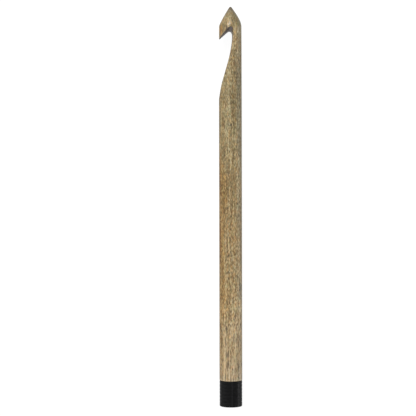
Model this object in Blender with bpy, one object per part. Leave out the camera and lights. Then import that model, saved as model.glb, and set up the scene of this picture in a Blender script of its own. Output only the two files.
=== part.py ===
"""A large wooden crochet hook with a black end cap, lying on its side along Y.

The tip points to +Y, the barb to -X, and the stick rests on the plane z = 0.
Lengths are in metres. Along the stick, a "distance" is counted from the tip.
"""

from math import cos, degrees, pi, radians, sin, tan

import bmesh
import bpy
from mathutils import Vector

# Driving dimensions of the whole hook.
TOTAL_LENGTH = 0.351
SHAFT_RADIUS = 0.0100
CAP_LENGTH = 0.0223
CAP_RADIUS = 0.00992
GAP = 0.0003

# The pointed head: its full width is reached at HEAD_LENGTH, a shade under the shaft's.
HEAD_RADIUS = 0.00987
HEAD_LENGTH = 0.0180
TIP_RADIUS = 0.0013
HEAD_SLOPE = 0.68
HEAD_CONE_REACH = 0.0110
HEAD_SHOULDER_REACH = 0.0022
NECK_DISTANCE = 0.0900

# The notch, seen from the side: x is the offset from the axis, towards the back of the hook.
# MIDDLE holds at the middle of the stick's depth and FACE at its two faces, so that the lip's
# underside and the throat are rounded over from the middle to both faces.
MIDDLE = {
    "arc_centre": (-0.00095, 0.02412),
    "arc_radius": 0.00220,
    "ledge_angle": 48.8,
    "arc_ends_above_side": 25.0,
    "throat_reach": 0.0045,
    "ramp_inset": 0.0,
}
FACE = {
    "arc_centre": (-0.00004, 0.02123),
    "arc_radius": 0.00255,
    "ledge_angle": 45.0,
    "arc_ends_above_side": 8.0,
    "throat_reach": 0.0070,
    "ramp_inset": 0.00025,
}
RAMP_SLOPE = 0.288
RAMP_START = (-0.00199, 0.0480)
RAMP_END_DISTANCE = 0.0660
RAMP_REACH = 0.0035
RUNOUT = (-0.01030, 0.0863)
RUNOUT_SLOPE = 0.055
RUNOUT_REACH = 0.0080
BARB_DISTANCE = 0.0287
CUTTER_SIDE = -0.0140
CUTTER_HALF_DEPTH = 0.0120
CUTTER_SLICES = 12

# The joint between wood and cap: a turned tenon in a blind bore.
TENON_RADIUS = 0.00740
TENON_LENGTH = 0.0160
SHOULDER_CHAMFER = 0.0004
TENON_CHAMFER = 0.0006
CAP_WALL_CHAMFER = 0.0003

# The cap's turned grip grooves and its rounded end.
GROOVE_COUNT = 6
GROOVE_PITCH = 0.0031
GROOVE_WIDTH = 0.0014
GROOVE_DEPTH = 0.00012
FIRST_GROOVE = 0.0028
CAP_END_ROUND = 0.0008
CAP_END_DEPTH = 0.0007

FACETS = 36

WOOD_COLOUR = (0.33, 0.25, 0.14, 1.0)
BLACK_COLOUR = (0.012, 0.012, 0.013, 1.0)


def clear_scene():
    for obj in list(bpy.data.objects):
        bpy.data.objects.remove(obj, do_unlink=True)


def material(name, colour, roughness, metallic=0.0):
    made = bpy.data.materials.new(name)
    made.use_nodes = True
    shader = made.node_tree.nodes["Principled BSDF"]
    shader.inputs["Base Color"].default_value = colour
    shader.inputs["Roughness"].default_value = roughness
    shader.inputs["Metallic"].default_value = metallic
    return made


def blend(first, second, share):
    return first + (second - first) * share


def cubic(start, start_handle, end_handle, end, count):
    """Points along a cubic curve, its two ends included."""
    weights = (Vector(start), Vector(start_handle), Vector(end_handle), Vector(end))
    points = []
    for step in range(count + 1):
        t = step / count
        u = 1.0 - t
        terms = (u**3, 3 * u * u * t, 3 * u * t * t, t**3)
        points.append(sum((w * k for w, k in zip(weights, terms)), Vector((0.0, 0.0))))
    return points


def arc(centre, radius_x, radius_y, start, end, count):
    """Points along an elliptical arc, its two ends included; the angles are in degrees."""
    points = []
    for step in range(count + 1):
        angle = radians(blend(start, end, step / count))
        points.append(Vector((centre[0] + radius_x * cos(angle), centre[1] + radius_y * sin(angle))))
    return points


def height(distance):
    """The height on the hook's own Z axis, whose zero is half-way along, of a distance from the tip."""
    return TOTAL_LENGTH / 2 - distance


def turned_piece(name, outline, colour, holder):
    """A turned solid round the hook's axis. outline lists (radius, distance), down its outer side."""
    mesh = bpy.data.meshes.new(name)
    # Each facet's middle, not its corners, lies at the outline's radius: the sides are flat at +-X.
    corner = tan(pi / FACETS)
    points = [(radius, radius * corner, height(distance)) for radius, distance in outline]
    edges = [(index, index + 1) for index in range(len(points) - 1)]
    mesh.from_pydata(points, edges, [])
    piece = bpy.data.objects.new(name, mesh)
    bpy.context.scene.collection.objects.link(piece)
    piece.parent = holder
    screw = piece.modifiers.new("turned", "SCREW")
    screw.axis = "Z"
    screw.steps = FACETS
    screw.render_steps = FACETS
    screw.use_merge_vertices = True
    screw.merge_threshold = 0.00001
    screw.use_smooth_shade = True
    mesh.materials.append(colour)
    return piece


def head_outline():
    """The rounded tip, the long cone and its shoulder, as (radius, distance)."""
    tip = arc((0.0, TIP_RADIUS), TIP_RADIUS, TIP_RADIUS, -90.0, -38.0, 3)
    leave = tip[-1]
    cone_handle = (leave.x + HEAD_SLOPE * HEAD_CONE_REACH, leave.y + HEAD_CONE_REACH)
    shoulder_handle = (HEAD_RADIUS, HEAD_LENGTH - HEAD_SHOULDER_REACH)
    side = cubic(leave, cone_handle, shoulder_handle, (HEAD_RADIUS, HEAD_LENGTH), 11)
    return tip + side[1:]


def shaft_outline():
    shoulder = TOTAL_LENGTH - CAP_LENGTH - GAP
    tenon_end = shoulder + TENON_LENGTH
    rest = [
        (SHAFT_RADIUS, NECK_DISTANCE),
        (SHAFT_RADIUS, shoulder - SHOULDER_CHAMFER),
        (SHAFT_RADIUS - SHOULDER_CHAMFER, shoulder),
        (TENON_RADIUS, shoulder),
        (TENON_RADIUS, tenon_end - TENON_CHAMFER),
        (TENON_RADIUS - TENON_CHAMFER, tenon_end),
        (0.0, tenon_end),
    ]
    return head_outline() + rest


def grooves(mouth):
    """Shallow round-bottomed grooves turned in the cap, as (radius, distance)."""
    points = []
    for number in range(GROOVE_COUNT):
        middle = mouth + FIRST_GROOVE + number * GROOVE_PITCH
        for step in range(5):
            share = step / 4
            radius = CAP_RADIUS - GROOVE_DEPTH * sin(pi * share)
            points.append((radius, middle + (share - 0.5) * GROOVE_WIDTH))
    return points


def cap_outline():
    mouth = TOTAL_LENGTH - CAP_LENGTH
    floor = mouth + TENON_LENGTH
    bore = TENON_RADIUS + GAP
    inside = [
        (0.0, floor),
        (bore, floor),
        (bore, mouth + CAP_WALL_CHAMFER),
        (bore + CAP_WALL_CHAMFER, mouth),
        (CAP_RADIUS - CAP_WALL_CHAMFER, mouth),
        (CAP_RADIUS, mouth + CAP_WALL_CHAMFER),
    ]
    end_centre = (CAP_RADIUS - CAP_END_ROUND, TOTAL_LENGTH - CAP_END_DEPTH)
    end = arc(end_centre, CAP_END_ROUND, CAP_END_DEPTH, 0.0, 90.0, 5)
    return inside + grooves(mouth) + end + [(0.0, TOTAL_LENGTH)]


def notch_outline(share):
    """The notch's side view as (x, distance) points, share of the way from MIDDLE to FACE."""
    radius = blend(MIDDLE["arc_radius"], FACE["arc_radius"], share)
    centre = Vector(MIDDLE["arc_centre"]).lerp(Vector(FACE["arc_centre"]), share)
    ledge = radians(blend(MIDDLE["ledge_angle"], FACE["ledge_angle"], share))
    side = blend(MIDDLE["arc_ends_above_side"], FACE["arc_ends_above_side"], share)
    reach = blend(MIDDLE["throat_reach"], FACE["throat_reach"], share)
    inset = Vector((blend(MIDDLE["ramp_inset"], FACE["ramp_inset"], share), 0.0))

    top_arc = arc(centre, radius, radius, 180.0 + degrees(ledge), 360.0 - side, 9)
    # The ledge ends where the barb's blunt tip is cut square across the stick.
    barb_x = top_arc[0].x - (BARB_DISTANCE - top_arc[0].y) * tan(ledge)
    barb = [Vector((CUTTER_SIDE, BARB_DISTANCE)), Vector((barb_x, BARB_DISTANCE))]

    leaves = Vector((sin(radians(side)), cos(radians(side))))
    down_ramp = Vector((-RAMP_SLOPE, 1.0)).normalized()
    ramp_start = Vector(RAMP_START) + inset
    throat_handles = (top_arc[-1] + leaves * reach, ramp_start - down_ramp * RAMP_REACH)
    throat = cubic(top_arc[-1], throat_handles[0], throat_handles[1], ramp_start, 9)

    ramp_length = (RAMP_END_DISTANCE - RAMP_START[1]) / down_ramp.y
    ramp_end = ramp_start + down_ramp * ramp_length
    runout = Vector(RUNOUT)
    out_of_ramp = Vector((-RUNOUT_SLOPE, 1.0)).normalized()
    handles = (ramp_end + down_ramp * RAMP_REACH, runout - out_of_ramp * RUNOUT_REACH)
    blend_out = cubic(ramp_end, handles[0], handles[1], runout, 7)
    return barb + top_arc + throat[1:] + blend_out + [Vector((CUTTER_SIDE, RUNOUT[1]))]


def notch_cutter(holder):
    """The wood taken out of the notch: its outlines from one face of the stick to the other, lofted."""
    shape = bmesh.new()
    rings = []
    for number in range(CUTTER_SLICES + 1):
        depth = CUTTER_HALF_DEPTH * (2 * number / CUTTER_SLICES - 1)
        outline = notch_outline((depth / SHAFT_RADIUS) ** 2)
        rings.append([shape.verts.new((x, depth, height(distance))) for x, distance in outline])
    count = len(rings[0])
    for ring, following in zip(rings, rings[1:]):
        for index in range(count):
            after = (index + 1) % count
            shape.faces.new((ring[index], ring[after], following[after], following[index]))
    shape.faces.new(rings[0])
    shape.faces.new(rings[-1])
    bmesh.ops.recalc_face_normals(shape, faces=shape.faces)
    mesh = bpy.data.meshes.new("notch_cutter")
    shape.to_mesh(mesh)
    shape.free()
    cutter = bpy.data.objects.new("notch_cutter", mesh)
    bpy.context.scene.collection.objects.link(cutter)
    cutter.parent = holder
    cutter.hide_render = True
    cutter.display_type = "WIRE"
    return cutter


def main():
    clear_scene()
    # The hook's own Z axis runs from the cap to the tip; the holder lays it along world Y.
    holder = bpy.data.objects.new("hook_axis", None)
    bpy.context.scene.collection.objects.link(holder)
    holder.location = (0.0, 0.0, SHAFT_RADIUS)
    holder.rotation_euler = (-pi / 2, 0.0, 0.0)

    wood = material("oiled_wood", WOOD_COLOUR, 0.55)
    black = material("black_lacquer", BLACK_COLOUR, 0.28)

    hook_shaft = turned_piece("hook_shaft", shaft_outline(), wood, holder)
    notch = hook_shaft.modifiers.new("notch", "BOOLEAN")
    notch.operation = "DIFFERENCE"
    notch.solver = "EXACT"
    notch.object = notch_cutter(holder)

    turned_piece("end_cap", cap_outline(), black, holder)


main()
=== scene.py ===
"""Looks for a large wooden crochet hook with a black end cap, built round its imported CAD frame.

The hook lies along Y on the plane z = 0, its tip towards +Y and its barb towards -X.
Metres throughout; a "distance" runs along the hook from its tip.
"""

from math import cos, degrees, pi, radians, sin, tan

import bmesh
import bpy
import numpy as np
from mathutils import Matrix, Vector

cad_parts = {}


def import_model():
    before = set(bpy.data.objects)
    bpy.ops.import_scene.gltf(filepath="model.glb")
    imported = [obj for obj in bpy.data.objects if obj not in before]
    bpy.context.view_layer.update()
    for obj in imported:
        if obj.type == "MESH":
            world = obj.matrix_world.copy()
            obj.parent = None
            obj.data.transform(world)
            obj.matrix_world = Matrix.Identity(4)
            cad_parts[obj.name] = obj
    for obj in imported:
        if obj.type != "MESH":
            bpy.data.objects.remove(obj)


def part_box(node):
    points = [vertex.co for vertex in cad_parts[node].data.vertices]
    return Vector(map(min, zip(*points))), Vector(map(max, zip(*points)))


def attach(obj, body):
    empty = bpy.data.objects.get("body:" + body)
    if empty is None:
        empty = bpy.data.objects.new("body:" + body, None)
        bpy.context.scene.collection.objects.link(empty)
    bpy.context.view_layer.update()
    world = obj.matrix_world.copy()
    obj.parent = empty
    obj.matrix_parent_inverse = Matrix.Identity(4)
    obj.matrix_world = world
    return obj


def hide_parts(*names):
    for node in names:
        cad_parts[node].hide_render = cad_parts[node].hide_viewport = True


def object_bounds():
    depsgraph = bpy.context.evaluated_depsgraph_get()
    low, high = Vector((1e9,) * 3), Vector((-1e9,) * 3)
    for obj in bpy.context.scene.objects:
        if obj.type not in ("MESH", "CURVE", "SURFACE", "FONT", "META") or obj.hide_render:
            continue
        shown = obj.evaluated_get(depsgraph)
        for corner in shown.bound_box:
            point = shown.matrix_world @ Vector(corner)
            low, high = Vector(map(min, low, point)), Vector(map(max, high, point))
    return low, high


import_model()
CAD_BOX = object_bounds()

MM = 0.001

# The whole hook, from the frame.
TIP_Y = CAD_BOX[1].y
TOTAL_LENGTH = CAD_BOX[1].y - CAD_BOX[0].y
SHAFT_RADIUS = (CAD_BOX[1].z - CAD_BOX[0].z) / 2
AXIS_Z = CAD_BOX[0].z + SHAFT_RADIUS
CAP_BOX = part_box("end_cap")
CAP_RADIUS = (CAP_BOX[1].x - CAP_BOX[0].x) / 2
CAP_MOUTH = TIP_Y - CAP_BOX[1].y
TENON_END = TIP_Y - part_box("hook_shaft")[0].y

# The pointed head and the joint with the cap.
HEAD_RADIUS = 9.87 * MM
HEAD_LENGTH = 18.0 * MM
TIP_RADIUS = 1.3 * MM
HEAD_SLOPE = 0.68
HEAD_CONE_REACH = 11.0 * MM
HEAD_SHOULDER_REACH = 2.2 * MM
NECK_DISTANCE = 90.0 * MM
GAP = 0.3 * MM
SHOULDER = CAP_MOUTH - GAP
SHOULDER_CHAMFER = 0.4 * MM
TENON_RADIUS = 7.4 * MM
TENON_CHAMFER = 0.6 * MM

# The notch: its side view at the middle of the stick's depth and at its two faces.
MIDDLE = {
    "arc_centre": (-0.95 * MM, 24.12 * MM),
    "arc_radius": 2.20 * MM,
    "ledge_angle": 48.8,
    "arc_ends_above_side": 25.0,
    "throat_reach": 4.5 * MM,
    "ramp_inset": 0.0,
}
FACE = {
    "arc_centre": (-0.04 * MM, 21.23 * MM),
    "arc_radius": 2.55 * MM,
    "ledge_angle": 45.0,
    "arc_ends_above_side": 8.0,
    "throat_reach": 7.0 * MM,
    "ramp_inset": 0.25 * MM,
}
RAMP_SLOPE = 0.288
RAMP_START = (-1.99 * MM, 48.0 * MM)
RAMP_END_DISTANCE = 66.0 * MM
RAMP_REACH = 3.5 * MM
RUNOUT = (-10.30 * MM, 86.3 * MM)
RUNOUT_SLOPE = 0.055
RUNOUT_REACH = 8.0 * MM
# A little further back than the CAD's barb, because the softening shortens its point.
BARB_DISTANCE = 28.85 * MM
CUTTER_SIDE = -14.0 * MM
CUTTER_HALF_DEPTH = 12.0 * MM
CUTTER_SLICES = 48

# The fine wood mesh. Its faces are SQUEEZE times longer than wide along the plain shaft.
BLANK_STEPS = 144
VOXEL = 0.36 * MM
SOFTENING = 0.5
SOFTENING_ROUNDS = 3
PLAIN_SHAFT = (95.0 * MM, 320.0 * MM)
SQUEEZE = 8.0
# A point this near to the turned surface is put exactly on it, and one beyond the second value stays.
TRUE_WITHIN = 0.05 * MM
TRUE_NOT_BEYOND = 0.14 * MM
TIP_STAYS = (2.0 * MM, 4.0 * MM)
CORNER_STAYS = (SHOULDER - 1.6 * MM, SHOULDER - 1.0 * MM)
# The hand-sanded cone leans towards the back of the hook, most of all between the two inner values.
HEAD_LEAN = 0.45 * MM
LEAN_RISES = (-6.0 * MM, 9.0 * MM)
LEAN_FADES = (12.0 * MM, HEAD_LENGTH)

# The cap.
CAP_STEPS = 160
CAP_WALL_CHAMFER = 0.3 * MM
GROOVE_COUNT = 6
GROOVE_PITCH = 3.1 * MM
GROOVE_WIDTH = 1.4 * MM
GROOVE_DEPTH = 0.12 * MM
GROOVE_STEPS = 16
FIRST_GROOVE = 2.8 * MM
CAP_END_ROUND = 0.8 * MM
CAP_END_DEPTH = 0.7 * MM
CAP_SHARP_ANGLE = 50.0

# The camera looks straight down from just over a metre, for a slight perspective.
CAMERA_DISTANCE = 1.05
VIEW_WIDTH = 0.36585
SENSOR = 36.0
CAMERA_X = -19.85 * MM
CAMERA_Y = -1.45 * MM
CAMERA_ROLL = -0.11

# The wood's colours, and the tints laid over them, painted highlight and shade among them.
WOOD_DARK = (0.114, 0.072, 0.0265)
WOOD_MIDDLE = (0.294, 0.214, 0.101)
WOOD_PALE = (0.564, 0.45, 0.264)
# The pores' colour, also used for the painted shade at the notch's lips.
PORE_AND_LIP_SHADE_COLOUR = (0.060, 0.045, 0.032)
GOLDEN_TINT = (1.12, 0.98, 0.74)
OLIVE_TINT = (0.94, 1.02, 0.90)
SLATE_TINT = (0.86, 0.94, 1.08)
ROSE_TINT = (1.08, 0.96, 0.92)
WARM_TINT = (1.0, 0.88, 0.64)
# Greyer, bluer wood with painted shade, on the far side.
GREY_WOOD_AND_SHADE_TINT = (0.80, 0.85, 0.93)
# A painted highlight on the chamfered corner at the wood's end.
RIM_HIGHLIGHT_COLOUR = (0.52, 0.43, 0.30)
# Painted shade under the barb and in the throat.
LEDGE_SHADE_COLOUR = (0.155, 0.142, 0.165)
THROAT_SHADE_COLOUR = (0.095, 0.070, 0.055)
POINT_COLOUR = (0.100, 0.088, 0.066)
# Painted shade on the cone's side away from the barb.
FAR_CONE_SHADE_TINT = (0.66, 0.66, 0.63)

# The layers of the grain: a feature's width across the stick and its length along it, in mm, and
# an offset that keeps each layer's pattern apart from the others'.
WANDER_LAYER = (26.0, 70.0, 2.2)
STREAK_LAYER = (3.2, 220.0, 7.7)
DASH_LAYER = (1.2, 14.0, 1.3)
LINE_LAYER = (0.9, 30.0, 9.6)
FLECK_LAYER = (0.75, 2.4, 5.1)
FIGURE_LAYER = (13.0, 60.0, 3.1)
PORE_LAYER = (0.85, 3.8, 2.9)
LONG_PORE_LAYER = (1.15, 11.0, 6.4)
FIRST_HUE_LAYER = (1.5, 5.0, 12.1)
SECOND_HUE_LAYER = (1.3, 4.0, 15.3)
SIDE_LAYER = (7.0, 38.0, 8.8)
FIBRE_LAYER = (0.45, 9.0, 4.9)

# How strongly each layer shows in the wood's tone, and how far the grain wanders, in mm.
STREAKS = 0.55
DASHES = 0.50
LINES = 0.80
FLECKS = 1.90
FIGURE = 0.42
PORES = 0.85
WANDER_ACROSS = 5.0
WANDER_DEEP = 4.0
SIDE_WANDER = 16.0

# Where the wood, and the highlight and shade painted on it, change along the stick: the distances from
# the tip, in mm, where each change starts and where it is complete.
HEAD_TO_SHAFT = (14.0, 34.0)
PORES_OPEN = (12.0, 40.0)
LONG_PORES_OPEN = (225.0, 285.0)
PALER = (235.0, 300.0)
CALMER = (262.0, 305.0)
WARM_SIDE_STARTS = (90.0, 150.0)
WARM_SIDE_ENDS = (320.0, 260.0)
RIM_HIGHLIGHT = (SHOULDER / MM - 1.6, SHOULDER / MM - 0.6)
NOTCH_ENDS = (60.0, 45.0)
THROAT_STARTS = (18.5, 22.0)
THROAT_ENDS = (56.0, 28.0)
CONE_ENDS = (20.0, 13.0)
POINT_ENDS = (9.0, 1.0)

# Tints along the stick, by distance from the tip in mm.
ZONES = (
    (0.0, (0.68, 0.71, 0.76)),
    (8.0, (0.72, 0.76, 0.80)),
    (14.0, (0.84, 0.88, 0.94)),
    (20.0, (0.84, 0.86, 0.88)),
    (34.0, (0.82, 0.82, 0.81)),
    (62.0, (0.72, 0.75, 0.735)),
    (110.0, (0.75, 0.79, 0.79)),
    (165.0, (0.82, 0.80, 0.75)),
    (205.0, (0.79, 0.75, 0.70)),
    (240.0, (0.86, 0.845, 0.82)),
    (267.0, (0.98, 0.96, 0.96)),
    (285.0, (0.85, 0.825, 0.85)),
    (308.0, (0.86, 0.835, 0.87)),
    (325.0, (0.87, 0.865, 0.96)),
)

# Single marks in the wood, and one of painted shade: offset from the axis, distance from the tip, half
# width and half length in mm, and tint.
MARKS = (
    (-8.2, 20.5, 1.3, 5.5, (1.10, 0.88, 0.60)),
    # Partly a dark spot in the wood, partly painted shade by the ledge's lip that damps the highlight
    # there.
    (-3.2, 19.4, 0.9, 2.2, (0.42, 0.38, 0.46)),
    (4.0, 29.5, 0.9, 3.6, (0.78, 0.62, 0.55)),
    (6.0, 17.0, 1.6, 2.2, (0.82, 0.84, 0.62)),
    (3.2, 50.0, 0.8, 3.0, (0.70, 0.58, 0.52)),
    (8.5, 250.0, 1.4, 9.0, (0.74, 0.80, 0.92)),
    (-9.0, 150.0, 1.2, 26.0, (0.88, 0.76, 0.58)),
    (-9.0, 205.0, 1.2, 20.0, (0.88, 0.76, 0.58)),
)
MARK_RAGGEDNESS = 2.4
MARK_EDGE = (1.3, 0.3)

# The painted shade in the notch and on the cone, and the darker point: how strong each is, which way a
# shaded face looks (a component of its normal) and how far from the axis, in mm, the painted shade fades
# at the lips.
LEDGE_SHADE = 0.75
LEDGE_SHADE_FACES = (-0.25, -0.6)
LIP_SHADE = 0.45
LIP_SHADE_REACH = (8.3, 9.7)
THROAT_SHADE = 0.40
THROAT_SHADE_FACES = (-0.35, -0.75)
THROAT_SHADE_REACH = (9.75, 9.2)
FAR_CONE_SHADE_FACES = (-0.20, 0.28)
POINT_DARKENING = 0.75

WOOD_SPECULAR = 0.35
WOOD_ROUGHNESS = 0.30
PORE_ROUGHNESS = 0.62
SHAFT_EXTRA_ROUGHNESS = 0.18
WOOD_RELIEF = 0.12 * MM

# The cap's colours, its haze and a painted highlight along its mould's seam, in mm across.
CAP_DARK = (0.0024, 0.0024, 0.0026)
CAP_PALE = (0.0048, 0.0048, 0.0051)
CAP_SPECULAR = 0.10
CAP_RELIEF = 0.03 * MM
HAZE_LAYER = (3.0, 3.0, 8.2)
TURNING_LAYER = (30.0, 0.35, 4.4)
# A painted highlight on the seam ridge's lit flank.
SEAM_HIGHLIGHT_COLOUR = (0.010, 0.010, 0.0105)
SEAM_ACROSS = 0.9
SEAM_EDGE = (0.65, 0.2)
SEAM_HIGHLIGHT_SHARE = 0.8

# The lamps: name, place, size and power.
LAMPS = (
    ("key", (-0.40, 1.25, 1.38), (0.75, 0.55), 26.5),
    ("left_fill", (-1.6, 0.0, 0.55), (0.9, 1.6), 4.0),
    ("right_fill", (1.6, 0.0, 0.12), (1.6, 0.2), 8.0),
)

# The light tent's brightness, and the heights between which one passes into the next.
BELOW = 0.70
WALLS = 0.55
CEILING = 0.80
BELOW_TO_WALLS = (-0.15, 0.10)
WALLS_TO_CEILING = (0.10, 0.75)

# The table.
FLOOR_HALF_WIDTH = 8.0
FLOOR_COLOUR = (0.10, 0.10, 0.10, 1.0)
FLOOR_GLOW = 0.94
WHITE = (1.0, 1.0, 1.0, 1.0)


# ---------------------------------------------------------------- outlines


def between(first, second, share):
    return first + (second - first) * share


def smooth_share(values, low, high):
    """0 at low, 1 at high and a smooth rise between them, for an array."""
    t = np.clip((values - low) / (high - low), 0.0, 1.0)
    return t * t * (3.0 - 2.0 * t)


def cubic(start, start_handle, end_handle, end, count):
    """Points along a cubic curve, its two ends included."""
    weights = (Vector(start), Vector(start_handle), Vector(end_handle), Vector(end))
    points = []
    for step in range(count + 1):
        t = step / count
        u = 1.0 - t
        terms = (u**3, 3 * u * u * t, 3 * u * t * t, t**3)
        points.append(sum((w * k for w, k in zip(weights, terms)), Vector((0.0, 0.0))))
    return points


def arc(centre, radius_x, radius_y, start, end, count):
    """Points along an elliptical arc, its two ends included; the angles are in degrees."""
    points = []
    for step in range(count + 1):
        angle = radians(between(start, end, step / count))
        points.append(Vector((centre[0] + radius_x * cos(angle), centre[1] + radius_y * sin(angle))))
    return points


def head_outline():
    """The rounded tip, the long cone and its shoulder, as (radius, distance)."""
    tip = arc((0.0, TIP_RADIUS), TIP_RADIUS, TIP_RADIUS, -90.0, -38.0, 6)
    leave = tip[-1]
    cone_handle = (leave.x + HEAD_SLOPE * HEAD_CONE_REACH, leave.y + HEAD_CONE_REACH)
    shoulder_handle = (HEAD_RADIUS, HEAD_LENGTH - HEAD_SHOULDER_REACH)
    side = cubic(leave, cone_handle, shoulder_handle, (HEAD_RADIUS, HEAD_LENGTH), 40)
    return tip + side[1:]


def shaft_outline():
    """The whole wooden piece's turned outline, as (radius, distance)."""
    rest = [
        (SHAFT_RADIUS, NECK_DISTANCE),
        (SHAFT_RADIUS, SHOULDER - SHOULDER_CHAMFER),
        (SHAFT_RADIUS - SHOULDER_CHAMFER, SHOULDER),
        (TENON_RADIUS, SHOULDER),
        (TENON_RADIUS, TENON_END - TENON_CHAMFER),
        (TENON_RADIUS - TENON_CHAMFER, TENON_END),
        (0.0, TENON_END),
    ]
    return head_outline() + [Vector(point) for point in rest]


def cap_outline():
    """The cap: its blind bore, its mouth, the grooved side and the rounded end, as (radius, distance)."""
    floor = CAP_MOUTH + TENON_END - SHOULDER
    bore = TENON_RADIUS + GAP
    lip = CAP_WALL_CHAMFER
    points = [Vector((0.0, floor)), Vector((bore * 0.5, floor)), Vector((bore - lip, floor))]
    points += arc((bore - lip, floor - lip), lip, lip, 90.0, 0.0, 4)[1:]
    points += [Vector((bore, CAP_MOUTH + 2 * lip))]
    points += arc((bore + lip, CAP_MOUTH + lip), lip, lip, 180.0, 270.0, 5)
    points += arc((CAP_RADIUS - lip, CAP_MOUTH + lip), lip, lip, -90.0, 0.0, 5)
    for number in range(GROOVE_COUNT):
        middle = CAP_MOUTH + FIRST_GROOVE + number * GROOVE_PITCH
        for step in range(GROOVE_STEPS + 1):
            share = step / GROOVE_STEPS
            radius = CAP_RADIUS - GROOVE_DEPTH * sin(pi * share) ** 1.5
            points.append(Vector((radius, middle + (share - 0.5) * GROOVE_WIDTH)))
    end_centre = (CAP_RADIUS - CAP_END_ROUND, TOTAL_LENGTH - CAP_END_DEPTH)
    points += arc(end_centre, CAP_END_ROUND, CAP_END_DEPTH, 0.0, 90.0, 14)
    points += [Vector((CAP_RADIUS * 0.35, TOTAL_LENGTH)), Vector((0.0, TOTAL_LENGTH))]
    return points


def notch_outline(share):
    """The notch's side view as (x, distance) points, share of the way from MIDDLE to FACE."""
    radius = between(MIDDLE["arc_radius"], FACE["arc_radius"], share)
    centre = Vector(MIDDLE["arc_centre"]).lerp(Vector(FACE["arc_centre"]), share)
    ledge = radians(between(MIDDLE["ledge_angle"], FACE["ledge_angle"], share))
    side = between(MIDDLE["arc_ends_above_side"], FACE["arc_ends_above_side"], share)
    reach = between(MIDDLE["throat_reach"], FACE["throat_reach"], share)
    inset = Vector((between(MIDDLE["ramp_inset"], FACE["ramp_inset"], share), 0.0))

    top_arc = arc(centre, radius, radius, 180.0 + degrees(ledge), 360.0 - side, 18)
    # The ledge ends where the barb's blunt tip is cut square across the stick.
    barb_x = top_arc[0].x - (BARB_DISTANCE - top_arc[0].y) * tan(ledge)
    barb = [Vector((CUTTER_SIDE, BARB_DISTANCE)), Vector((barb_x, BARB_DISTANCE))]

    leaves = Vector((sin(radians(side)), cos(radians(side))))
    down_ramp = Vector((-RAMP_SLOPE, 1.0)).normalized()
    ramp_start = Vector(RAMP_START) + inset
    throat_handles = (top_arc[-1] + leaves * reach, ramp_start - down_ramp * RAMP_REACH)
    throat = cubic(top_arc[-1], throat_handles[0], throat_handles[1], ramp_start, 36)

    ramp_length = (RAMP_END_DISTANCE - RAMP_START[1]) / down_ramp.y
    ramp_end = ramp_start + down_ramp * ramp_length
    runout = Vector(RUNOUT)
    out_of_ramp = Vector((-RUNOUT_SLOPE, 1.0)).normalized()
    handles = (ramp_end + down_ramp * RAMP_REACH, runout - out_of_ramp * RUNOUT_REACH)
    blend_out = cubic(ramp_end, handles[0], handles[1], runout, 24)
    return barb + top_arc + throat[1:] + blend_out + [Vector((CUTTER_SIDE, RUNOUT[1]))]


# ---------------------------------------------------------------- meshes


def new_object(name, data):
    """A mesh, a lamp or a camera, put in the scene."""
    made = bpy.data.objects.new(name, data)
    bpy.context.scene.collection.objects.link(made)
    return made


def lathe_mesh(name, outline, steps):
    """A closed turned mesh round the hook's axis, in the row frame, from (radius, distance) points."""
    shape = bmesh.new()
    rings = []
    for radius, distance in outline:
        y = TIP_Y - distance
        if radius < 1e-7:
            rings.append([shape.verts.new((0.0, y, AXIS_Z))])
            continue
        angles = [2 * pi * step / steps for step in range(steps)]
        ring = [shape.verts.new((radius * cos(a), y, AXIS_Z + radius * sin(a))) for a in angles]
        rings.append(ring)
    for ring, following in zip(rings, rings[1:]):
        for step in range(steps):
            after = (step + 1) % steps
            corners = [ring[step % len(ring)], ring[after % len(ring)]]
            corners += [following[after % len(following)], following[step % len(following)]]
            face = list(dict.fromkeys(corners))
            shape.faces.new(face)
    bmesh.ops.recalc_face_normals(shape, faces=shape.faces)
    mesh = bpy.data.meshes.new(name)
    shape.to_mesh(mesh)
    shape.free()
    return mesh


def notch_mesh():
    """The wood taken out of the notch: its outlines from one face of the stick to the other, lofted."""
    shape = bmesh.new()
    rings = []
    for number in range(CUTTER_SLICES + 1):
        depth = CUTTER_HALF_DEPTH * (2 * number / CUTTER_SLICES - 1)
        outline = notch_outline((depth / SHAFT_RADIUS) ** 2)
        rings.append([shape.verts.new((x, TIP_Y - distance, AXIS_Z + depth)) for x, distance in outline])
    count = len(rings[0])
    for ring, following in zip(rings, rings[1:]):
        for index in range(count):
            after = (index + 1) % count
            shape.faces.new((ring[index], ring[after], following[after], following[index]))
    shape.faces.new(rings[0])
    shape.faces.new(rings[-1])
    bmesh.ops.recalc_face_normals(shape, faces=shape.faces)
    mesh = bpy.data.meshes.new("notch")
    shape.to_mesh(mesh)
    shape.free()
    return mesh


def evaluated_mesh(obj):
    """The object's mesh with its modifiers applied."""
    graph = bpy.context.evaluated_depsgraph_get()
    return bpy.data.meshes.new_from_object(obj.evaluated_get(graph))


def coordinates(mesh):
    places = np.empty(len(mesh.vertices) * 3, np.float32)
    mesh.vertices.foreach_get("co", places)
    return places.reshape(-1, 3).astype(float)


def set_coordinates(mesh, places):
    mesh.vertices.foreach_set("co", places.astype(np.float32).ravel())
    mesh.update()


def squeezed(distances):
    """Shortens the plain shaft, so that its mesh comes out long and narrow once stretched again."""
    start, end = PLAIN_SHAFT
    inside = np.clip(distances - start, 0.0, end - start)
    return distances - inside * (1.0 - 1.0 / SQUEEZE)


def unsqueezed(distances):
    """Stretches the plain shaft to its real length again."""
    start, end = PLAIN_SHAFT
    inside = np.clip(distances - start, 0.0, (end - start) / SQUEEZE)
    return distances + inside * (SQUEEZE - 1.0)


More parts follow.
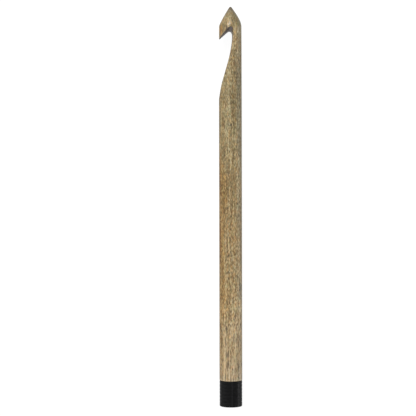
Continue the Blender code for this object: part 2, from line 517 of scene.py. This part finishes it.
def true_up(places):
    """Puts the points near the turned surface exactly on it, keeps the softened edges, leans the cone."""
    distances = TIP_Y - places[:, 1]
    across = places[:, 0]
    up = places[:, 2] - AXIS_Z
    radii = np.hypot(across, up)
    outline = np.array([point[:] for point in head_outline()] + [(SHAFT_RADIUS, NECK_DISTANCE)])
    turned = np.interp(distances, outline[:, 1], outline[:, 0])
    off = np.abs(turned - radii)
    share = 1.0 - smooth_share(off, TRUE_WITHIN, TRUE_NOT_BEYOND)
    share *= smooth_share(distances, *TIP_STAYS)
    share *= 1.0 - smooth_share(distances, *CORNER_STAYS)
    scale = 1.0 + share * (turned / np.maximum(radii, 1e-6) - 1.0)
    lean = smooth_share(distances, *LEAN_RISES)
    lean *= 1.0 - smooth_share(distances, *LEAN_FADES)
    places[:, 0] = across * scale + HEAD_LEAN * lean
    places[:, 2] = AXIS_Z + up * scale
    return places


def wooden_hook():
    """The turned and carved wood, with its edges softened as by fine sanding."""
    blank = new_object("blank", lathe_mesh("blank", shaft_outline(), BLANK_STEPS))
    cutter = new_object("cutter", notch_mesh())
    cut = blank.modifiers.new("notch", "BOOLEAN")
    cut.operation = "DIFFERENCE"
    cut.solver = "EXACT"
    cut.object = cutter
    mesh = evaluated_mesh(blank)
    bpy.data.objects.remove(blank)
    bpy.data.objects.remove(cutter)

    places = coordinates(mesh)
    places[:, 1] = TIP_Y - squeezed(TIP_Y - places[:, 1])
    set_coordinates(mesh, places)
    rough = new_object("rough", mesh)
    remesh = rough.modifiers.new("even_mesh", "REMESH")
    remesh.mode = "VOXEL"
    remesh.voxel_size = VOXEL
    soften = rough.modifiers.new("sanded_edges", "SMOOTH")
    soften.factor = SOFTENING
    soften.iterations = SOFTENING_ROUNDS
    fine = evaluated_mesh(rough)
    bpy.data.objects.remove(rough)

    places = coordinates(fine)
    places[:, 1] = TIP_Y - unsqueezed(TIP_Y - places[:, 1])
    places = true_up(places)
    set_coordinates(fine, places)
    fine.name = "hook_wood"
    fine.shade_smooth()
    return new_object("hook_wood", fine)


def black_cap():
    """The turned cap, with its bore."""
    mesh = lathe_mesh("hook_cap", cap_outline(), CAP_STEPS)
    mesh.shade_smooth()
    mesh.set_sharp_from_angle(angle=radians(CAP_SHARP_ANGLE))
    return new_object("hook_cap", mesh)


# ---------------------------------------------------------------- materials


class Nodes:
    """A material's node tree, with short ways to add what the materials use."""

    def __init__(self, name):
        self.material = bpy.data.materials.new(name)
        self.material.use_nodes = True
        self.tree = self.material.node_tree
        self.shader = self.tree.nodes["Principled BSDF"]

    def link(self, source, target):
        self.tree.links.new(source, target)

    def add(self, kind, **settings):
        node = self.tree.nodes.new(kind)
        for key, value in settings.items():
            setattr(node, key, value)
        return node

    def feed(self, socket, value):
        """Links a socket, or sets a number or a three-part colour."""
        if isinstance(value, bpy.types.NodeSocket):
            self.link(value, socket)
        elif isinstance(value, tuple):
            socket.default_value = (*value, 1.0)
        else:
            socket.default_value = value

    def position(self):
        """The point in millimetres, with the hook's own axis as the Y axis."""
        place = self.add("ShaderNodeTexCoord")
        moved = self.add("ShaderNodeVectorMath", operation="SUBTRACT")
        self.link(place.outputs["Object"], moved.inputs[0])
        moved.inputs[1].default_value = (0.0, 0.0, AXIS_Z)
        scaled = self.add("ShaderNodeVectorMath", operation="SCALE")
        self.link(moved.outputs[0], scaled.inputs[0])
        scaled.inputs["Scale"].default_value = 1.0 / MM
        return scaled.outputs[0]

    def facing(self):
        """The surface's normal."""
        return self.add("ShaderNodeTexCoord").outputs["Normal"]

    def split(self, vector):
        """The vector's three parts."""
        node = self.add("ShaderNodeSeparateXYZ")
        self.link(vector, node.inputs[0])
        return node.outputs["X"], node.outputs["Y"], node.outputs["Z"]

    def stretched(self, position, width, length, offset):
        """Coordinates in which a feature is width mm across the stick and length mm along it."""
        node = self.add("ShaderNodeVectorMath", operation="MULTIPLY_ADD")
        self.link(position, node.inputs[0])
        node.inputs[1].default_value = (1.0 / width, 1.0 / length, 1.0 / width)
        node.inputs[2].default_value = (offset, offset * 0.37, -offset * 0.61)
        return node.outputs[0]

    def noise(self, vector, detail=2.0, roughness=0.5):
        node = self.add("ShaderNodeTexNoise")
        self.link(vector, node.inputs["Vector"])
        node.inputs["Scale"].default_value = 1.0
        node.inputs["Detail"].default_value = detail
        node.inputs["Roughness"].default_value = roughness
        return node.outputs["Fac"]

    def scattered(self, vector, edge, share):
        """1 inside scattered cells: edge bounds each cell's size, and share picks some of the cells."""
        node = self.add("ShaderNodeTexVoronoi")
        self.link(vector, node.inputs["Vector"])
        node.inputs["Scale"].default_value = 1.0
        inside = self.ramp(node.outputs["Distance"], *edge)
        return self.math("MULTIPLY", inside, self.ramp(node.outputs["Color"], *share))

    def math(self, operation, first, second=0.0, third=0.0):
        node = self.add("ShaderNodeMath", operation=operation)
        for socket, value in zip(node.inputs, (first, second, third)):
            self.feed(socket, value)
        return node.outputs[0]

    def swing(self, total, layer, weight):
        """Adds weight times how far the layer is from its middle, one half."""
        return self.math("MULTIPLY_ADD", self.math("SUBTRACT", layer, 0.5), weight, total)

    def ramp(self, value, low, high, out_low=0.0, out_high=1.0):
        """out_low where the value is low, out_high where it is high, and a smooth rise between them."""
        node = self.add("ShaderNodeMapRange", interpolation_type="SMOOTHSTEP")
        self.feed(node.inputs["Value"], value)
        node.inputs["From Min"].default_value = low
        node.inputs["From Max"].default_value = high
        node.inputs["To Min"].default_value = out_low
        node.inputs["To Max"].default_value = out_high
        return node.outputs["Result"]

    def mix(self, share, first, second, blend_type="MIX"):
        node = self.add("ShaderNodeMix", data_type="RGBA", blend_type=blend_type)
        self.feed(node.inputs["Factor"], share)
        # Of the sockets named A and B, only those of the chosen data type are found by name.
        self.feed(node.inputs["A"], first)
        self.feed(node.inputs["B"], second)
        return node.outputs["Result"]

    def tint(self, share, colour, tint):
        return self.mix(share, colour, tint, blend_type="MULTIPLY")

    def shades(self, value, stops):
        """A colour ramp through the stops, (position, colour) in order."""
        node = self.add("ShaderNodeValToRGB")
        self.link(value, node.inputs["Fac"])
        elements = node.color_ramp.elements
        while len(elements) < len(stops):
            elements.new(0.5)
        for element, (position, colour) in zip(elements, stops):
            element.position = position
            element.color = (*colour, 1.0)
        return node.outputs["Color"]

    def bump(self, height, strength, distance):
        node = self.add("ShaderNodeBump")
        node.inputs["Strength"].default_value = strength
        node.inputs["Distance"].default_value = distance
        self.link(height, node.inputs["Height"])
        self.link(node.outputs["Normal"], self.shader.inputs["Normal"])


def wandering_grain(n, position):
    """The grain's own coordinates, which drift slowly sideways along the stick."""
    wander = n.noise(n.stretched(position, *WANDER_LAYER), detail=1.0)
    shift = n.add("ShaderNodeCombineXYZ")
    n.link(n.swing(0.0, wander, WANDER_ACROSS), shift.inputs["X"])
    n.link(n.swing(0.0, wander, -WANDER_DEEP), shift.inputs["Z"])
    grain = n.add("ShaderNodeVectorMath", operation="ADD")
    n.link(position, grain.inputs[0])
    n.link(shift.outputs[0], grain.inputs[1])
    return grain.outputs[0]


def open_pores(n, grain, from_tip):
    """1 in the pores: short dashes, with longer ones further apart towards the cap."""
    short = n.scattered(n.stretched(grain, *PORE_LAYER), edge=(0.44, 0.18), share=(0.35, 0.62))
    short = n.math("MULTIPLY", short, n.ramp(from_tip, *PORES_OPEN, 0.25, 1.0))
    long = n.scattered(n.stretched(grain, *LONG_PORE_LAYER), edge=(0.48, 0.22), share=(0.30, 0.50))
    long = n.math("MULTIPLY", long, n.ramp(from_tip, *LONG_PORES_OPEN, 0.30, 1.0))
    return n.math("MAXIMUM", short, long)


def wood_tone(n, position, grain, flecks, from_tip, shaft_share, calm):
    """How pale the wood is, about 0 to 1: the layers of grain over a broad figure, palest by the cap."""
    line_weight = n.ramp(from_tip, *CALMER, LINES, LINES * 1.5)
    fleck_weight = n.math("MULTIPLY_ADD", shaft_share, FLECKS * 0.4, FLECKS * 0.6)
    layers = (
        (n.noise(n.stretched(grain, *STREAK_LAYER)), STREAKS),
        (n.noise(n.stretched(grain, *DASH_LAYER)), DASHES),
        (n.noise(n.stretched(grain, *LINE_LAYER)), line_weight),
        (flecks, n.math("MULTIPLY", fleck_weight, calm)),
        (n.noise(n.stretched(position, *FIGURE_LAYER)), FIGURE),
    )
    tone = 0.5
    for layer, weight in layers:
        tone = n.swing(tone, layer, weight)
    return n.math("ADD", tone, n.ramp(from_tip, *PALER, 0.0, 0.16))


def hue_patches(n, colour, grain, calm):
    """Small patches of golden, olive, slate and rosy wood, all over."""
    first = n.noise(n.stretched(grain, *FIRST_HUE_LAYER), detail=3.0, roughness=0.65)
    colour = n.tint(n.math("MULTIPLY", n.ramp(first, 0.50, 0.66), calm), colour, GOLDEN_TINT)
    colour = n.tint(n.ramp(first, 0.50, 0.34), colour, OLIVE_TINT)
    second = n.noise(n.stretched(grain, *SECOND_HUE_LAYER), detail=3.0, roughness=0.65)
    colour = n.tint(n.math("MULTIPLY", n.ramp(second, 0.52, 0.68), calm), colour, SLATE_TINT)
    return n.tint(n.ramp(second, 0.50, 0.36), colour, ROSE_TINT)


def side_tints(n, colour, position, across, from_tip):
    """Warm wood on the barb's side; greyer, bluer wood on the far side, darkened further with painted
    shade.
    """
    side = n.swing(across, n.noise(n.stretched(position, *SIDE_LAYER)), SIDE_WANDER)
    starts = n.ramp(from_tip, *WARM_SIDE_STARTS, 0.25, 1.0)
    ends = n.ramp(from_tip, *WARM_SIDE_ENDS, 0.4, 1.0)
    warm_share = n.math("MULTIPLY", n.ramp(side, -2.0, -9.0), n.math("MULTIPLY", starts, ends))
    warm = n.tint(warm_share, colour, WARM_TINT)
    # greyer, bluer wood on the far side, with painted shade darkening it further
    return n.tint(n.ramp(side, 2.5, 9.0), warm, GREY_WOOD_AND_SHADE_TINT)


def length_tints(n, colour, from_tip):
    """The slow change along the stick, and a painted highlight on the chamfered corner at the wood's end.
    """
    length = TOTAL_LENGTH / MM
    stops = [(distance / length, tint) for distance, tint in ZONES]
    zoned = n.tint(1.0, colour, n.shades(n.math("DIVIDE", from_tip, length), stops))
    # painted highlight along the chamfered corner at the wood's end
    return n.mix(n.ramp(from_tip, *RIM_HIGHLIGHT, 0.0, 0.35), zoned, RIM_HIGHLIGHT_COLOUR)


def notch_shade(n, colour, place, facing, from_tip):
    """Painted shade under the barb, darkest at its lips, and painted shade in the throat."""
    across, _, up = place
    reach = n.math("SQRT", n.math("ADD", n.math("POWER", across, 2.0), n.math("POWER", up, 2.0)))
    ledge_shade = n.math("MULTIPLY", n.ramp(facing[1], *LEDGE_SHADE_FACES), n.ramp(from_tip, *NOTCH_ENDS))
    # painted shade on the barb's underside, on faces looking back towards the cap
    colour = n.mix(n.math("MULTIPLY", ledge_shade, LEDGE_SHADE), colour, LEDGE_SHADE_COLOUR)

    throat = n.math("MULTIPLY", n.ramp(facing[0], *THROAT_SHADE_FACES), n.ramp(reach, *THROAT_SHADE_REACH))
    behind_barb = n.math("MULTIPLY", n.ramp(from_tip, *THROAT_STARTS), n.ramp(from_tip, *THROAT_ENDS))
    throat = n.math("MULTIPLY", throat, behind_barb)
    # painted shade on the throat's wall, on faces looking towards -X
    colour = n.mix(n.math("MULTIPLY", throat, THROAT_SHADE), colour, THROAT_SHADE_COLOUR)

    lip = n.math("MULTIPLY", ledge_shade, n.ramp(reach, *LIP_SHADE_REACH))
    # painted shade at the lips, in the pores' dark colour
    return n.mix(n.math("MULTIPLY", lip, LIP_SHADE), colour, PORE_AND_LIP_SHADE_COLOUR)


def single_marks(n, colour, flecks, across, from_tip):
    """The listed marks: ellipses with edges made ragged by the flecks."""
    for mark_across, mark_distance, half_width, half_length, tint in MARKS:
        sideways = n.math("MULTIPLY_ADD", across, 1.0 / half_width, -mark_across / half_width)
        lengthways = n.math("MULTIPLY_ADD", from_tip, 1.0 / half_length, -mark_distance / half_length)
        spread = n.math("ADD", n.math("POWER", sideways, 2.0), n.math("POWER", lengthways, 2.0))
        colour = n.tint(n.ramp(n.swing(spread, flecks, MARK_RAGGEDNESS), *MARK_EDGE), colour, tint)
    return colour


def cone_shade_and_point(n, colour, facing, from_tip):
    """Painted shade on the cone's side away from the barb, and the point darkened towards grey."""
    far_side_shade = n.math("MULTIPLY", n.ramp(facing[0], *FAR_CONE_SHADE_FACES), n.ramp(from_tip, *CONE_ENDS))
    # painted shade on the cone's far side
    colour = n.tint(far_side_shade, colour, FAR_CONE_SHADE_TINT)
    return n.mix(n.ramp(from_tip, *POINT_ENDS, 0.0, POINT_DARKENING), colour, POINT_COLOUR)


def wood_material():
    """Open-grained oiled wood: pores and dashes along the grain, long streaks, warm and grey zones."""
    n = Nodes("oiled_wood")
    position = n.position()
    place = n.split(position)
    facing = n.split(n.facing())
    from_tip = n.math("SUBTRACT", TIP_Y / MM, place[1])
    grain = wandering_grain(n, position)
    flecks = n.noise(n.stretched(grain, *FLECK_LAYER), roughness=0.6)
    pores = open_pores(n, grain, from_tip)
    shaft_share = n.ramp(from_tip, *HEAD_TO_SHAFT)
    calm = n.ramp(from_tip, *CALMER, 1.0, 0.55)

    tone = wood_tone(n, position, grain, flecks, from_tip, shaft_share, calm)
    colour = n.shades(tone, ((0.08, WOOD_DARK), (0.5, WOOD_MIDDLE), (0.92, WOOD_PALE)))
    colour = n.mix(n.math("MULTIPLY", pores, PORES), colour, PORE_AND_LIP_SHADE_COLOUR)
    colour = hue_patches(n, colour, grain, calm)
    colour = side_tints(n, colour, position, place[0], from_tip)
    colour = length_tints(n, colour, from_tip)
    colour = notch_shade(n, colour, place, facing, from_tip)
    colour = single_marks(n, colour, flecks, place[0], from_tip)
    colour = cone_shade_and_point(n, colour, facing, from_tip)
    n.link(colour, n.shader.inputs["Base Color"])

    # The head is sanded smoothest, and the pores stay rough.
    roughness = n.ramp(pores, 0.0, 1.0, WOOD_ROUGHNESS, PORE_ROUGHNESS)
    roughness = n.math("ADD", roughness, n.ramp(flecks, 0.3, 0.7, 0.05, -0.05))
    roughness = n.math("MULTIPLY_ADD", shaft_share, SHAFT_EXTRA_ROUGHNESS, roughness)
    n.link(roughness, n.shader.inputs["Roughness"])
    n.shader.inputs["Specular IOR Level"].default_value = WOOD_SPECULAR

    fibres = n.noise(n.stretched(grain, *FIBRE_LAYER))
    height = n.math("MULTIPLY_ADD", pores, -1.0, n.math("MULTIPLY", fibres, 0.35))
    n.bump(height, strength=0.5, distance=WOOD_RELIEF)
    return n.material


def cap_material():
    """Satin black, faintly turned and hazed, with a painted highlight along the line left by the mould's
    two halves.
    """
    n = Nodes("satin_black")
    position = n.position()
    haze = n.noise(n.stretched(position, *HAZE_LAYER), detail=4.0, roughness=0.6)
    colour = n.mix(n.ramp(haze, 0.35, 0.7), CAP_DARK, CAP_PALE)
    from_seam = n.math("ABSOLUTE", n.math("SUBTRACT", n.split(position)[0], SEAM_ACROSS))
    seam_highlight = n.math("MULTIPLY", n.ramp(from_seam, *SEAM_EDGE), SEAM_HIGHLIGHT_SHARE)
    # a lighter painted highlight beside the mould's seam, as on the ridge's lit flank
    colour = n.mix(seam_highlight, colour, SEAM_HIGHLIGHT_COLOUR)
    n.link(colour, n.shader.inputs["Base Color"])
    n.link(n.ramp(haze, 0.3, 0.75, 0.27, 0.40), n.shader.inputs["Roughness"])
    n.shader.inputs["Specular IOR Level"].default_value = CAP_SPECULAR
    turning = n.noise(n.stretched(position, *TURNING_LAYER))
    n.bump(turning, strength=0.25, distance=CAP_RELIEF)
    return n.material


def floor_material():
    """A white table that glows a little, as a lit one does, so that hardly any shadow shows on it."""
    n = Nodes("white_table")
    n.shader.inputs["Base Color"].default_value = FLOOR_COLOUR
    n.shader.inputs["Roughness"].default_value = 0.9
    n.shader.inputs["Specular IOR Level"].default_value = 0.0
    n.shader.inputs["Emission Color"].default_value = WHITE
    n.shader.inputs["Emission Strength"].default_value = FLOOR_GLOW
    return n.material


# ---------------------------------------------------------------- stage


def floor():
    shape = bmesh.new()
    bmesh.ops.create_grid(shape, x_segments=1, y_segments=1, size=FLOOR_HALF_WIDTH)
    mesh = bpy.data.meshes.new("floor")
    shape.to_mesh(mesh)
    shape.free()
    made = new_object("floor", mesh)
    made.location.z = CAD_BOX[0].z
    mesh.materials.append(floor_material())
    # The table's glow whitens its own shadows and doesn't light the hook from below.
    made.visible_diffuse = False
    made.visible_glossy = False


def lamp(name, place, size, power):
    """A rectangular lamp aimed at the middle of the hook."""
    data = bpy.data.lights.new(name, "AREA")
    data.shape = "RECTANGLE"
    data.size, data.size_y = size
    data.energy = power
    made = new_object(name, data)
    made.location = place
    made.rotation_mode = "QUATERNION"
    aim = Vector((0.0, 0.0, AXIS_Z)) - Vector(place)
    made.rotation_quaternion = aim.to_track_quat("-Z", "Y")


def world():
    """Brightest overhead and dimmest at the walls, with a pale floor below, as in a light tent."""
    made = bpy.data.worlds.new("studio")
    made.use_nodes = True
    tree = made.node_tree
    direction = tree.nodes.new("ShaderNodeTexCoord")
    split = tree.nodes.new("ShaderNodeSeparateXYZ")
    tree.links.new(direction.outputs["Generated"], split.inputs[0])
    total = tree.nodes.new("ShaderNodeMath")
    total.operation = "ADD"
    steps = ((BELOW_TO_WALLS, BELOW, WALLS), (WALLS_TO_CEILING, 0.0, CEILING - WALLS))
    for socket, (heights, out_low, out_high) in zip(total.inputs, steps):
        rise = tree.nodes.new("ShaderNodeMapRange")
        rise.interpolation_type = "SMOOTHSTEP"
        tree.links.new(split.outputs["Z"], rise.inputs["Value"])
        rise.inputs["From Min"].default_value = heights[0]
        rise.inputs["From Max"].default_value = heights[1]
        rise.inputs["To Min"].default_value = out_low
        rise.inputs["To Max"].default_value = out_high
        tree.links.new(rise.outputs["Result"], socket)
    tree.links.new(total.outputs[0], tree.nodes["Background"].inputs["Strength"])
    tree.nodes["Background"].inputs["Color"].default_value = WHITE
    bpy.context.scene.world = made


def camera():
    data = bpy.data.cameras.new("camera")
    data.sensor_width = SENSOR
    data.lens = SENSOR * CAMERA_DISTANCE / VIEW_WIDTH
    data.clip_end = 50.0
    made = new_object("camera", data)
    made.location = (CAMERA_X, CAMERA_Y, AXIS_Z + CAMERA_DISTANCE)
    made.rotation_euler = (0.0, 0.0, radians(CAMERA_ROLL))
    bpy.context.scene.camera = made


# ---------------------------------------------------------------- the scene


def main():
    wood = wooden_hook()
    wood.data.materials.clear()
    wood.data.materials.append(wood_material())
    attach(wood, "shaft")
    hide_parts("hook_shaft")

    cap = black_cap()
    cap.data.materials.append(cap_material())
    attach(cap, "cap")
    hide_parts("end_cap")

    floor()
    for name, place, size, power in LAMPS:
        lamp(name, place, size, power)
    world()
    camera()
    bpy.context.scene.view_settings.view_transform = "Standard"


main()
